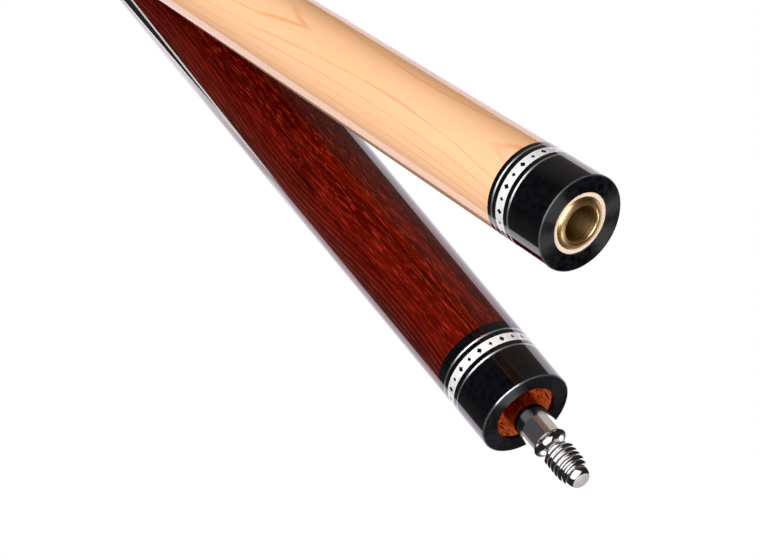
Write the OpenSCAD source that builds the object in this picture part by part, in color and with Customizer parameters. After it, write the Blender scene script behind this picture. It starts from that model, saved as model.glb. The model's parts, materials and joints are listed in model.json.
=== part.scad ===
// Two-piece pool cue, taken apart: the butt lies flat on the floor and the shaft lies across it.
// Each half is turned about its own axis, with its joint face at z = 0 and its body below that face.

/* [Joint] */
// Diameter of both halves at the joint faces
joint_d = 21.4; // [20.4:0.1:22.4]
// Length of each black joint collar
collar_len = 9.9; // [8:0.1:14]
// Width of the chamfer round each joint face
face_chamfer = 0.25; // [0.2:0.05:0.8]
// Diameter of the recess round the joint pin
recess_d = 14; // [13:0.1:15]
// Depth of the recess round the joint pin
recess_depth = 5; // [3:0.1:7]

/* [Joint pin] */
// Diameter of the smooth pilot barrel
pilot_d = 7.9; // [7.5:0.05:8.2]
// How far the pilot barrel stands out of the joint face
pilot_len = 9.4; // [8:0.1:11]
// Diameter of the neck behind the thread
neck_d = 4.4; // [4:0.1:5]
// Outside diameter of the thread
thread_d = 7.2; // [6.8:0.05:7.4]
// Advance of the thread in one turn
thread_lead = 1.25; // [1:0.05:1.5]
// Length of the nose, with the cone that the thread runs out on
nose_len = 4; // [3.4:0.1:4.6]
// Diameter of the nose behind its domed end
nose_d = 5.7; // [5.4:0.1:6.2]
// Radius of the dome's outline
nose_round = 2.5; // [2:0.1:2.6]
// How far the pin stands out of the joint face
pin_len = 21.4; // [20:0.1:23]
// Length of the pin that is set in the forearm
pin_root = 40; // [30:1:50]

/* [Ring work] */
// Width of each thin silver line
line_w = 0.45; // [0.3:0.05:0.8]
// Width of each black ring
black_w = 1.1; // [0.8:0.05:1.6]
// Width of each white ring
white_w = 2.4; // [2:0.1:3.2]
// Width of the black band behind the rings on the butt
butt_band_w = 2.3; // [1:0.1:4]
// Width of the black band behind the rings on the shaft
shaft_band_w = 1.05; // [0.8:0.05:3]
// Large diamonds round each white ring, with a small one between each pair
diamonds = 12; // [8:1:16]
// Length and width of a large diamond
large_diamond = [1.5, 1.2]; // [0.5:0.05:2]
// Length and width of a small diamond
small_diamond = [1.1, 0.9]; // [0.4:0.05:1.5]
// Depth of each diamond in its ring
diamond_depth = 0.7; // [0.4:0.1:1]
// Turn of the butt's diamonds about its axis
butt_diamond_turn = 7.8; // [0:0.1:30]
// Turn of the shaft's diamonds about its axis
shaft_diamond_turn = 4.9; // [0:0.1:30]

/* [Butt] */
// Length of the butt from the joint face to the end of the cap
butt_len = 737; // [720:1:750]
// Growth of the butt's radius for each millimetre of length
butt_taper = 0.0076; // [0.007:0.0001:0.0083]
// Distance from the joint face to the back of the forearm
forearm_end = 317; // [300:1:330]
// Distance from the joint face to the back of the wrap
wrap_end = 640; // [600:1:650]
// Distance from the joint face to the back of the sleeve
sleeve_end = 706; // [696:1:712]
// Thickness of the linen wrap
wrap_t = 0.6; // [0.4:0.1:1]
// Diameter of the bore that holds the weight bolt
weight_bore_d = 13; // [12:0.1:14]
// Length of the weight bolt
weight_len = 45; // [30:1:50]
// Height of the rubber bumper behind the cap
bumper_h = 12; // [8:1:16]
// Length of the bumper's plug
plug_len = 16; // [12:1:18]

/* [Points] */
// Distance from the joint face to the tips of the two long points
long_tip = 86; // [70:1:110]
// Distance from the joint face to the tips of the two short points
short_tip = 116; // [112:1:140]
// Depth of a groove gained for each millimetre behind its tip
point_slope = 0.0303; // [0.025:0.0005:0.034]
// Thickness of the white veneer on each side of a groove
veneer_t = 0.535; // [0.3:0.005:0.8]
// Turn of the first long point about the butt's axis
point_turn = 223.2; // [180:0.1:270]

/* [Shaft] */
// Length of the shaft from the joint face to the end of the tip
shaft_len = 737; // [720:1:750]
// Loss of the shaft's radius for each millimetre of length
shaft_taper = 0.0096; // [0.009:0.0001:0.0105]
// Diameter of the straight front of the shaft
tip_d = 12.9; // [12:0.05:13.5]
// Length of the ferrule
ferrule_len = 25; // [12:1:28]
// Thickness of the pad under the tip
pad_t = 1; // [0.6:0.1:1.5]
// Height of the leather tip
leather_t = 5; // [4:0.1:7]
// Radius of the leather tip's dome
dome_r = 10.6; // [9:0.1:12]

/* [Insert] */
// Diameter of the raw wood rim round the insert, at the joint face
rim_d = 13.6; // [13:0.1:13.6]
// How far that rim lies behind the joint face
rim_sink = 0.3; // [0.1:0.05:0.6]
// Diameter of the brass insert
insert_d = 11.7; // [11.4:0.1:12.2]
// How far the insert's rounded lip stands out of the joint face
lip_h = 0.4; // [0.1:0.05:0.8]
// Diameter of the bore that takes the pilot barrel
pilot_bore_d = 8.06; // [7.96:0.02:8.3]
// Length of the brass insert
insert_len = 26; // [24.5:0.5:30]

/* [How it lies] */
// Angle between the halves, seen from above
cross_angle = 13.1; // [8:0.1:20]
// Distance along the butt to where the halves cross, seen from above
butt_cross = 188.4; // [150:0.1:260]
// Distance along the shaft to where the halves cross, seen from above
shaft_cross = 196.4; // [150:0.1:260]
// Space between the halves where the shaft passes over the butt
cross_gap = 0.5; // [0.4:0.05:1]
// Whole turns that screw the shaft home from clear of the pin
screw_turns = 22; // [20:1:30]

/* [Hidden] */
$fn = 96;

glue = 0.03;           // radial room in a glued or press-fitted socket
run = 0.05;            // room between pieces that turn on each other
bore_room = 0.2;       // radial room of what slides in the weight bore
joint_r = joint_d / 2;
tip_r = tip_d / 2;
tenon_r = 7.8;         // wood that runs through the ring work of both halves
lip = 0.9;             // thickness of the butt collar's lip in front of the tenon
shaft_lip = 2.5;       // thickness of the shaft collar's lip in front of the tenon
pin_root_r = pilot_d / 2 + 0.25;
pin_back = recess_depth + pin_root;
thread_bore_d = thread_d + 0.4;
butt_tenon_r = 9;      // rear tenon of the handle, under the sleeve and the cap
fore_tenon_r = 8;      // front tenon of the handle, under the rings
screw_d = 9.5;
screw_len = 66;
ring_set = 2 * line_w + 2 * black_w + white_w;
butt_rings_end = collar_len + ring_set;
forearm_start = butt_rings_end + butt_band_w;
shaft_start = butt_rings_end + shaft_band_w;
handle_start = forearm_end + ring_set;
sleeve_start = wrap_end + ring_set;
cap_start = sleeve_end + ring_set;
pad_end = shaft_len - leather_t;
ferrule_end = pad_end - pad_t;
wood_end = ferrule_end - ferrule_len;
ferrule_tenon_r = 4.6;
ferrule_tenon_end = ferrule_end - 3;
draw = screw_turns * thread_lead;
weight_play = 1.5;     // room between the weight bolt and the bumper's plug with the shaft screwed home
weight_rear = butt_len - plug_len - draw - weight_play;

function butt_r(s) = joint_r + butt_taper * s;
function shaft_r(s) = max(tip_r, joint_r - shaft_taper * s);
straight_start = (joint_r - tip_r) / shaft_taper;

// Round outline from angle a0 to a1 about [x, y], in n steps
function arc(x, y, r, a0, a1, n = 8) =
    [for (i = [0:n]) let (a = a0 + (a1 - a0) * i / n) [x + r * cos(a), y + r * sin(a)]];

// How the halves lie: the butt's cone rests on the floor along its whole length, the shaft's tip touches
// the floor, and the shaft is raised until it clears the butt where they cross.
butt_tilt = atan(butt_taper);
butt_axis = [cos(butt_tilt), 0, -sin(butt_tilt)];
butt_face = [0, 0, joint_r];
function shaft_axis(lift) =
    [cos(lift) * cos(cross_angle), cos(lift) * sin(cross_angle), sin(lift)];
function shaft_face(lift) = let (v = shaft_axis(lift)) [
    butt_face.x - butt_cross * butt_axis.x + shaft_cross * v.x,
    butt_face.y - butt_cross * butt_axis.y + shaft_cross * v.y,
    shaft_len * v.z + tip_r * cos(lift)
];
// Space between the two cones at their nearest approach
function room(lift) =
    let (
        v = shaft_axis(lift),
        away = shaft_face(lift) - butt_face,
        normal = cross(butt_axis, v),
        both = butt_axis * v,
        square = 1 - both * both,
        along_butt = (butt_axis * away - both * (v * away)) / square,
        along_shaft = (both * (butt_axis * away) - v * away) / square
    )
    abs(away * normal) / norm(normal) - butt_r(-along_butt) - shaft_r(-along_shaft);
function find_lift(low, high, steps) =
    let (mid = (low + high) / 2)
    steps == 0 ? mid
    : room(mid) < cross_gap ? find_lift(mid, high, steps - 1) : find_lift(low, mid, steps - 1);
lift = find_lift(1, 8, 30);
shaft_dir = shaft_axis(lift);
shaft_pos = shaft_face(lift);
tip_pos = shaft_pos - shaft_len * shaft_dir;

// The origin is under the middle of the whole, so both halves are moved by the middle of its box
side = sqrt(1 - shaft_dir.y * shaft_dir.y);
front_x = pin_len * butt_axis.x;
rear_x = -(butt_len + bumper_h) * butt_axis.x;
left_y = shaft_pos.y + joint_r * side;
right_y = tip_pos.y - tip_r * side;
middle = [(front_x + rear_x) / 2, (left_y + right_y) / 2, 0];

module on_butt() {
    translate(butt_face - middle) rotate([0, 90 + butt_tilt, 0]) children();
}
module on_shaft() {
    translate(shaft_pos - middle) rotate([0, 90 - lift, cross_angle]) children();
}

// A plain turned ring from s0 to s1 behind the joint face
module ring(s0, s1, bore, r0, r1) {
    rotate_extrude() polygon([[bore, -s0], [r0, -s0], [r1, -s1], [bore, -s1]]);
}
module butt_ring(s0, s1, bore) {
    ring(s0, s1, bore, butt_r(s0), butt_r(s1));
}
module shaft_ring(s0, s1, bore) {
    ring(s0, s1, bore, shaft_r(s0), shaft_r(s1));
}
module rod(s0, s1, r) {
    translate([0, 0, -s1]) cylinder(h = s1 - s0, r = r);
}

// Starts of the pieces of one ring set: line, black, white, black, line
function line_starts(s) = [s, s + ring_set - line_w];
function black_starts(s) = [s + line_w, s + ring_set - line_w - black_w];
function white_start(s) = s + line_w + black_w;
white_mid = white_start(collar_len) + white_w / 2;

module butt_lines_at(s, bore) {
    for (a = line_starts(s)) butt_ring(a, a + line_w, bore);
}
module butt_blacks_at(s, bore) {
    for (a = black_starts(s)) butt_ring(a, a + black_w, bore);
}
module butt_white_at(s, bore) {
    butt_ring(white_start(s), white_start(s) + white_w, bore);
}

// Diamond blocks standing through the wall of a white ring whose middle has the radius r
module diamond_blocks(size, r, turn) {
    for (i = [0:diamonds - 1])
        rotate([0, 0, turn + i * 360 / diamonds])
            translate([r - diamond_depth, 0, -white_mid])
                rotate([0, 90, 0])
                    linear_extrude(diamond_depth + 1)
                        polygon([[size[0] / 2, 0], [0, size[1] / 2], [-size[0] / 2, 0], [0, -size[1] / 2]]);
}
module butt_large_blocks() {
    diamond_blocks(large_diamond, butt_r(white_mid), butt_diamond_turn);
}
module butt_small_blocks() {
    diamond_blocks(small_diamond, butt_r(white_mid), butt_diamond_turn + 180 / diamonds);
}
module shaft_large_blocks() {
    diamond_blocks(large_diamond, shaft_r(white_mid), shaft_diamond_turn);
}
module shaft_small_blocks() {
    diamond_blocks(small_diamond, shaft_r(white_mid), shaft_diamond_turn + 180 / diamonds);
}
module butt_white_blank() {
    butt_white_at(collar_len, tenon_r + glue);
}
module shaft_white_blank() {
    shaft_ring(white_start(collar_len), white_start(collar_len) + white_w, tenon_r + glue);
}

// One square-bottomed V cut whose root line sinks into the forearm behind its tip
module v_cut(tip, raise) {
    lead_in = 6;
    run_out = 3;
    reach = 16;
    from = tip - lead_in;
    to = forearm_end + run_out;
    function root_r(s) = butt_r(s) - point_slope * (s - tip) + raise;
    fall = root_r(to) - root_r(from);
    translate([root_r(from), 0, -from])
        rotate([0, atan2(fall, from - to), 0])
            linear_extrude(norm([fall, to - from]))
                polygon([[0, 0], [-reach, reach], [-reach, -reach]]);
}
// All four cuts: the black points stand inside the grooves by the veneer on each flank
module point_cuts(inset) {
    raise = inset * sqrt(2);
    for (i = [0:3])
        rotate([0, 0, point_turn + 90 * i]) v_cut(i % 2 == 0 ? long_tip : short_tip, raise);
}
module forearm_cone() {
    butt_ring(forearm_start, forearm_end, screw_d / 2);
}

module bumper() {
    plug_r = weight_bore_d / 2 - bore_room;
    plug_edge = 1.2;
    head_r = 13.2;
    foot_r = 12.7;
    foot_round = 2.5;
    dimple_r = 3.5;
    dimple_depth = 1.5;
    back = butt_len + bumper_h;
    color([0.09, 0.09, 0.1]) on_butt() rotate_extrude()
        polygon(concat(
            [[0, plug_len - butt_len], [plug_r - plug_edge, plug_len - butt_len],
             [plug_r, plug_len - plug_edge - butt_len], [plug_r, -butt_len], [head_r, -butt_len]],
            arc(foot_r - foot_round, foot_round - back, foot_round, 0, -90),
            [[dimple_r, -back], [0, dimple_depth - back]]
        ));
}
module weight_bolt() {
    hex_d = 9;
    hex_depth = 8;
    color("silver") on_butt() difference() {
        rod(weight_rear - weight_len, weight_rear, weight_bore_d / 2 - bore_room);
        translate([0, 0, -weight_rear - 1]) cylinder(h = hex_depth + 1, d = hex_d, $fn = 6);
    }
}
module butt_cap() {
    edge = 2;
    edge_r = butt_r(butt_len - edge);
    color([0.05, 0.05, 0.06]) on_butt() rotate_extrude()
        polygon(concat(
            [[butt_tenon_r + glue, -cap_start], [butt_r(cap_start), -cap_start]],
            arc(edge_r - edge, edge - butt_len, edge, 0, -90),
            [[butt_tenon_r + glue, -butt_len]]
        ));
}
module cap_lines() {
    color("silver") on_butt() butt_lines_at(sleeve_end, butt_tenon_r + glue);
}
module cap_black_rings() {
    color([0.05, 0.05, 0.06]) on_butt() butt_blacks_at(sleeve_end, butt_tenon_r + glue);
}
module cap_white_ring() {
    color("ivory") on_butt() butt_white_at(sleeve_end, butt_tenon_r + glue);
}
module butt_sleeve() {
    color([0.38, 0.09, 0.06]) on_butt() butt_ring(sleeve_start, sleeve_end, butt_tenon_r + glue);
}
module sleeve_lines() {
    color("silver") on_butt() butt_lines_at(wrap_end, butt_tenon_r + glue);
}
module sleeve_black_rings() {
    color([0.05, 0.05, 0.06]) on_butt() butt_blacks_at(wrap_end, butt_tenon_r + glue);
}
module sleeve_white_ring() {
    color("ivory") on_butt() butt_white_at(wrap_end, butt_tenon_r + glue);
}
module handle() {
    screw_back = forearm_end + screw_len / 2;
    bolt_room = 1;
    bore_end = weight_rear - weight_len - bolt_room;
    color("burlywood") on_butt() difference() {
        union() {
            rod(forearm_end, handle_start, fore_tenon_r);
            ring(handle_start, wrap_end, 0, butt_r(handle_start) - wrap_t, butt_r(wrap_end) - wrap_t);
            rod(wrap_end, butt_len, butt_tenon_r);
        }
        rod(forearm_end - 1, screw_back + glue, screw_d / 2 + glue);
        rod(bore_end, butt_len + 1, weight_bore_d / 2);
    }
}
module wrap() {
    color([0.12, 0.12, 0.13]) on_butt() rotate_extrude()
        polygon([
            [butt_r(handle_start) - wrap_t + glue, -handle_start], [butt_r(handle_start), -handle_start],
            [butt_r(wrap_end), -wrap_end], [butt_r(wrap_end) - wrap_t + glue, -wrap_end]
        ]);
}
module fore_lines() {
    color("silver") on_butt() butt_lines_at(forearm_end, fore_tenon_r + glue);
}
module fore_black_rings() {
    color([0.05, 0.05, 0.06]) on_butt() butt_blacks_at(forearm_end, fore_tenon_r + glue);
}
module fore_white_ring() {
    color("ivory") on_butt() butt_white_at(forearm_end, fore_tenon_r + glue);
}
module joining_screw() {
    color("silver") on_butt() rod(forearm_end - screw_len / 2, forearm_end + screw_len / 2, screw_d / 2);
}
module forearm() {
    screw_front = forearm_end - screw_len / 2;
    color([0.38, 0.09, 0.06]) on_butt() difference() {
        union() {
            butt_ring(forearm_start, forearm_end, 0);
            rod(lip, forearm_start, tenon_r);
        }
        rod(0, recess_depth, recess_d / 2);
        rod(0, pin_back + glue, pin_root_r + glue);
        rod(screw_front - glue, forearm_end + 1, screw_d / 2 + glue);
        point_cuts(0);
    }
}
module point_veneers() {
    color("white") on_butt() difference() {
        intersection() {
            forearm_cone();
            point_cuts(0);
        }
        point_cuts(veneer_t);
    }
}
module points() {
    color([0.06, 0.05, 0.05]) on_butt() intersection() {
        forearm_cone();
        point_cuts(veneer_t);
    }
}
module butt_band() {
    color([0.05, 0.05, 0.06]) on_butt() butt_ring(butt_rings_end, forearm_start, tenon_r + glue);
}
module butt_lines() {
    color("silver") on_butt() butt_lines_at(collar_len, tenon_r + glue);
}
module butt_black_rings() {
    color([0.05, 0.05, 0.06]) on_butt() butt_blacks_at(collar_len, tenon_r + glue);
}
module butt_white_ring() {
    color("ivory") on_butt() difference() {
        butt_white_blank();
        butt_large_blocks();
        butt_small_blocks();
    }
}
module butt_large_diamonds() {
    color("black") on_butt() intersection() {
        butt_white_blank();
        butt_large_blocks();
    }
}
module butt_small_diamonds() {
    color("black") on_butt() intersection() {
        butt_white_blank();
        butt_small_blocks();
    }
}
module butt_collar() {
    color([0.05, 0.05, 0.06]) on_butt() rotate_extrude()
        polygon([
            [recess_d / 2, 0], [joint_r - face_chamfer, 0], [butt_r(face_chamfer), -face_chamfer],
            [butt_r(collar_len), -collar_len], [tenon_r + glue, -collar_len],
            [tenon_r + glue, -lip], [recess_d / 2, -lip]
        ]);
}
module joint_pin() {
    pilot_r = pilot_d / 2;
    neck_r = neck_d / 2;
    thread_r = thread_d / 2;
    nose_r = nose_d / 2;
    edge = 0.3;
    root_edge = 1;
    fillet = pilot_r - edge - neck_r;
    neck_len = 0.5;
    waist = pilot_len + fillet;
    thread_start = waist + neck_len + thread_r - neck_r;
    thread_end = pin_len - nose_len;
    dome_turn = 72;
    dome_start = pin_len - nose_round * sin(dome_turn);
    color("silver") on_butt() rotate_extrude()
        polygon(concat(
            [[0, -pin_back], [pin_root_r - root_edge, -pin_back], [pin_root_r, root_edge - pin_back],
             [pin_root_r, -recess_depth], [pilot_r, -recess_depth], [pilot_r, pilot_len - edge]],
            arc(neck_r + fillet, waist, fillet, -90, -180),
            [[neck_r, waist + neck_len], [thread_r, thread_start], [thread_r, thread_end]],
            arc(nose_r - nose_round, dome_start, nose_round, 0, dome_turn),
            [[0, pin_len]]
        ));
}

module insert() {
    back_edge = 0.8;
    lip_round = 1.8;
    mouth_round = 0.35;
    lead_in = 0.8;
    step_start = pilot_len + 0.8;
    step_end = step_start + 0.8;
    bottom = pin_len + 1.6;
    body_r = insert_d / 2;
    bore_r = pilot_bore_d / 2;
    lip_r = bore_r + mouth_round + 0.07;
    color("gold") on_shaft() rotate_extrude()
        polygon(concat(
            [[0, -insert_len], [body_r - back_edge, -insert_len], [body_r, back_edge - insert_len]],
            arc(lip_r, lip_h - lip_round, lip_round, acos((body_r - lip_r) / lip_round), 90),
            arc(lip_r, lip_h - mouth_round, mouth_round, 90, 180),
            [[bore_r, -lead_in], [bore_r, -step_start], [thread_bore_d / 2, -step_end],
             [thread_bore_d / 2, -bottom], [0, -bottom]]
        ));
}
module shaft_collar() {
    back = collar_len - run;
    color([0.05, 0.05, 0.06]) on_shaft() rotate_extrude()
        polygon([
            [rim_d / 2 + run, 0], [joint_r - face_chamfer, 0], [shaft_r(face_chamfer), -face_chamfer],
            [shaft_r(back), -back], [tenon_r + run, -back],
            [tenon_r + run, -shaft_lip - run], [rim_d / 2 + run, -shaft_lip - run]
        ]);
}
module shaft_lines() {
    color("silver") on_shaft()
        for (a = line_starts(collar_len)) shaft_ring(a, a + line_w, tenon_r + glue);
}
module shaft_black_rings() {
    color([0.05, 0.05, 0.06]) on_shaft()
        for (a = black_starts(collar_len)) shaft_ring(a, a + black_w, tenon_r + glue);
}
module shaft_white_ring() {
    color("ivory") on_shaft() difference() {
        shaft_white_blank();
        shaft_large_blocks();
        shaft_small_blocks();
    }
}
module shaft_large_diamonds() {
    color("black") on_shaft() intersection() {
        shaft_white_blank();
        shaft_large_blocks();
    }
}
module shaft_small_diamonds() {
    color("black") on_shaft() intersection() {
        shaft_white_blank();
        shaft_small_blocks();
    }
}
module shaft_band() {
    color([0.05, 0.05, 0.06]) on_shaft() shaft_ring(butt_rings_end, shaft_start, tenon_r + glue);
}
module shaft_wood() {
    color([0.93, 0.76, 0.55]) on_shaft() difference() {
        union() {
            rod(rim_sink, shaft_start, rim_d / 2);
            rod(shaft_lip + 2 * run, shaft_start, tenon_r);
            shaft_ring(shaft_start, straight_start, 0);
            rod(straight_start, wood_end, tip_r);
            rod(wood_end, ferrule_tenon_end, ferrule_tenon_r);
        }
        rod(0, insert_len + glue, insert_d / 2 + glue);
    }
}
module ferrule() {
    color("white") on_shaft() difference() {
        rod(wood_end, ferrule_end, tip_r);
        rod(wood_end - 1, ferrule_tenon_end + glue, ferrule_tenon_r + glue);
    }
}
module tip_pad() {
    color([0.25, 0.12, 0.08]) on_shaft() rod(ferrule_end, pad_end, tip_r);
}
module tip() {
    half = asin(tip_r / dome_r);
    color([0.2, 0.4, 0.55]) on_shaft() rotate_extrude()
        polygon(concat(
            [[0, -pad_end], [tip_r, -pad_end]],
            arc(0, dome_r - shaft_len, dome_r, half - 90, -90)
        ));
}

bumper();
weight_bolt();
butt_cap();
cap_lines();
cap_black_rings();
cap_white_ring();
butt_sleeve();
sleeve_lines();
sleeve_black_rings();
sleeve_white_ring();
handle();
wrap();
fore_lines();
fore_black_rings();
fore_white_ring();
joining_screw();
forearm();
point_veneers();
points();
butt_band();
butt_lines();
butt_black_rings();
butt_white_ring();
butt_large_diamonds();
butt_small_diamonds();
butt_collar();
joint_pin();
insert();
shaft_collar();
shaft_lines();
shaft_black_rings();
shaft_white_ring();
shaft_large_diamonds();
shaft_small_diamonds();
shaft_band();
shaft_wood();
ferrule();
tip_pad();
tip();
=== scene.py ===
import json
import math

import bpy
from mathutils import Euler, Matrix, Quaternion, Vector


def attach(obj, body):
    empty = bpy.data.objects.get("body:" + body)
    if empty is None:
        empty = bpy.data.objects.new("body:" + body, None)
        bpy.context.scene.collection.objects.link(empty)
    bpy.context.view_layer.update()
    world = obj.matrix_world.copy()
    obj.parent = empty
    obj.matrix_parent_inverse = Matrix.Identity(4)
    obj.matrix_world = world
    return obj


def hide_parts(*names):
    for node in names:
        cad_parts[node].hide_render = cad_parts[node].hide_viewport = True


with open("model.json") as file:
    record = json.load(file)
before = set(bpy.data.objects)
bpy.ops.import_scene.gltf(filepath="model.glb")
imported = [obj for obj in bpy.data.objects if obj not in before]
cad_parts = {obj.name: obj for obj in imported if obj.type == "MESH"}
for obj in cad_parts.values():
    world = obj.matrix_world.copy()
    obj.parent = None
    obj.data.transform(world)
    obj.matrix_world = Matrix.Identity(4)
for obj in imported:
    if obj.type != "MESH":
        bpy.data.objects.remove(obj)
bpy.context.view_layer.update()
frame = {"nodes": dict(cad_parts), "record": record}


# The two halves
# The cue is taken apart at its joint, and each half was turned on a lathe about its own axis. Its sizes are
# in millimetres in that half's own frame: Z points out of the joint face, and the body lies below the face.
MM = 0.001
PIN_MOUNT_AHEAD = 2
BORE_MOUNT_AHEAD = -5.5


def half_at(mount_name, ahead):
    """The frame of one half, from the mount that stands so far ahead of its joint face."""
    mount = next(m for m in frame["record"]["mounts"] if m["name"] == mount_name)
    axis = Vector(mount["axis"]).normalized()
    face = Vector(mount["pos_m"]) - axis * ahead * MM
    turn = Euler((0, math.acos(axis.z), math.atan2(axis.y, axis.x)))
    place = Matrix.Translation(face) @ turn.to_matrix().to_4x4() @ Matrix.Scale(MM, 4)
    return {"axis": axis, "face": face, "turn": turn, "place": place}


butt = half_at("joint_pin", PIN_MOUNT_AHEAD)
shaft = half_at("insert_bore", BORE_MOUNT_AHEAD)


# The camera
# It looks down on the two joint ends from in front of them, through a long lens, and is rolled so that the
# butt runs from the top left corner to the bottom of the picture.
PHOTO_WIDTH = 760
FOCAL_PIXELS = 3231.2
SENSOR = 36
CAMERA_HEADING = math.radians(22.883)
CAMERA_HEIGHT = math.radians(50.216)
CAMERA_ROLL = math.radians(-67.875)
CAMERA_AWAY = 681.15 * MM
CAMERA_CLIP = (0.01, 50)
AIM_FROM_FACE = Vector((-33.33, 1.70, 25.02)) * MM

camera_back = Vector((
    math.cos(CAMERA_HEIGHT) * math.cos(CAMERA_HEADING),
    math.cos(CAMERA_HEIGHT) * math.sin(CAMERA_HEADING),
    math.sin(CAMERA_HEIGHT),
))
camera_data = bpy.data.cameras.new("camera")
camera_data.sensor_width = SENSOR
camera_data.lens = FOCAL_PIXELS * SENSOR / PHOTO_WIDTH
camera_data.clip_start, camera_data.clip_end = CAMERA_CLIP
camera = bpy.data.objects.new("camera", camera_data)
bpy.context.scene.collection.objects.link(camera)
camera.rotation_mode = "QUATERNION"
camera.location = butt["face"] + AIM_FROM_FACE + camera_back * CAMERA_AWAY
camera.rotation_quaternion = (
    (-camera_back).to_track_quat("-Z", "Y") @ Quaternion((0, 0, 1), CAMERA_ROLL)
)
bpy.context.scene.camera = camera


# The studio
# A white sweep lies under and behind the cue in a dim room, so that gloss stays dark in the middle. A soft
# box stands over the camera and a small light in front of the joint. The pin has its own, wider soft box,
# so that its highlights don't burn out, and a faint glow on either side of its barrel.
WHITE = (1, 1, 1, 1)
SWEEP_NORMAL = Vector((0, -0.230, -0.973))
SWEEP_EDGE = 0.41
SWEEP_EDGE_SOFT = 0.015
SWEEP_REACH = math.radians(62)
SWEEP_REACH_SOFT = 0.04
SWEEP_NEAR = 2.0
SWEEP_FAR = 1.4
SWEEP_TINT = (1.0, 0.935, 1.03)
SWEEP_ON_MATT = 0.2
SWEEP_IN_FRONT = 0.12
SWEEP_FORWARD = (0.0, 0.3)
ROOM_RIGHT = (0.27, 0.25, 0.225, 1)
ROOM_LEFT = (0.14, 0.135, 0.13, 1)
ROOM_TOP = (0.10, 0.10, 0.11, 1)
ROOM_FRONT = (0.035, 0.033, 0.033, 1)
ROOM_SIDEWAYS = (-0.3, 0.3)
ROOM_UPWARD = (0.2, 0.55)
ROOM_FORWARD = (-0.40, -0.15)
BLACK_LEVEL = 0.006
KEY_SIZE = 1.7
KEY_AWAY = 1.6
KEY_SIDE = Vector((-1, -0.6, 0))
KEY_LEFT = math.radians(6)
KEY_POWER = 57
STEEL_BOX_SIZE = 3.0
STEEL_BOX_POWER = 48
FRONT_SIZE = 0.22
FRONT_AWAY = 1.0
FRONT_FROM = Vector((0.906, -0.125, -0.404))
FRONT_POWER = 1.3
GLOW_TINT = (1.0, 0.91, 0.82)
GLOW_AWAY = 9 * MM
GLOW_SIZE = 10 * MM
GLOW_AHEAD = 4.4
GLOW_POWER = 0.00013
FLOOR_SIZE = 12
FLOOR_DROP = 2 * MM


def put(tree, kind, *inputs, **settings):
    """A node of that kind with its settings, its inputs filled in order by values, outputs or None."""
    made = tree.nodes.new(kind)
    for name, value in settings.items():
        setattr(made, name, value)
    for socket, value in zip(made.inputs, inputs):
        if isinstance(value, bpy.types.NodeSocket):
            tree.links.new(value, socket)
        elif value is not None:
            socket.default_value = value
    return made


def calc(tree, operation, *values):
    """One step of arithmetic."""
    return put(tree, "ShaderNodeMath", *values, operation=operation).outputs[0]


def fade(tree, value, low, high, at_low=0.0, at_high=1.0):
    """A soft step from at_low to at_high while the value goes from low to high."""
    made = put(tree, "ShaderNodeMapRange", value, low, high, at_low, at_high, interpolation_type="SMOOTHSTEP")
    return made.outputs[0]


def mixed(tree, factor, colour, other):
    """The first colour, passing into the other as the factor rises."""
    made = tree.nodes.new("ShaderNodeMix")
    made.data_type = "RGBA"
    # A Mix node's inputs 6 and 7 and its output 2 are the ones for colours
    for socket, value in zip((made.inputs[0], made.inputs[6], made.inputs[7]), (factor, colour, other)):
        if isinstance(value, bpy.types.NodeSocket):
            tree.links.new(value, socket)
        else:
            socket.default_value = value
    return made.outputs[2]


def light_the_room():
    """The world: white to the camera, and a bright sweep in a dim room to everything else."""
    world = bpy.data.worlds.new("studio")
    bpy.context.scene.world = world
    world.use_nodes = True
    tree = world.node_tree
    tree.nodes.clear()
    ray = put(tree, "ShaderNodeTexCoord").outputs["Generated"]
    forward, sideways, height = put(tree, "ShaderNodeSeparateXYZ", ray).outputs
    down = put(tree, "ShaderNodeVectorMath", ray, SWEEP_NORMAL, operation="DOT_PRODUCT").outputs["Value"]
    ahead = put(tree, "ShaderNodeVectorMath", ray, -camera_back, operation="DOT_PRODUCT").outputs["Value"]
    reach = math.cos(SWEEP_REACH)
    on_sweep = calc(
        tree, "MULTIPLY",
        fade(tree, down, SWEEP_EDGE - SWEEP_EDGE_SOFT, SWEEP_EDGE + SWEEP_EDGE_SOFT),
        fade(tree, ahead, reach - SWEEP_REACH_SOFT, reach + SWEEP_REACH_SOFT),
    )
    path = put(tree, "ShaderNodeLightPath").outputs
    on_matt = calc(tree, "MULTIPLY_ADD", path["Is Diffuse Ray"], SWEEP_ON_MATT - 1, 1.0)
    sweep = put(tree, "ShaderNodeVectorMath", SWEEP_TINT, operation="SCALE")
    strength = calc(tree, "MULTIPLY", fade(tree, ahead, reach, 1.0, SWEEP_NEAR, SWEEP_FAR), on_matt)
    strength = calc(tree, "MULTIPLY", strength, fade(tree, forward, *SWEEP_FORWARD, 1.0, SWEEP_IN_FRONT))
    tree.links.new(strength, sweep.inputs["Scale"])
    room = mixed(tree, fade(tree, sideways, *ROOM_SIDEWAYS), ROOM_LEFT, ROOM_RIGHT)
    room = mixed(tree, fade(tree, height, *ROOM_UPWARD), room, ROOM_TOP)
    room = mixed(tree, fade(tree, forward, *ROOM_FORWARD), room, ROOM_FRONT)
    seen = mixed(tree, on_sweep, room, sweep.outputs[0])
    background = put(tree, "ShaderNodeBackground", mixed(tree, path["Is Camera Ray"], seen, WHITE))
    put(tree, "ShaderNodeOutputWorld", background.outputs[0])


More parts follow.
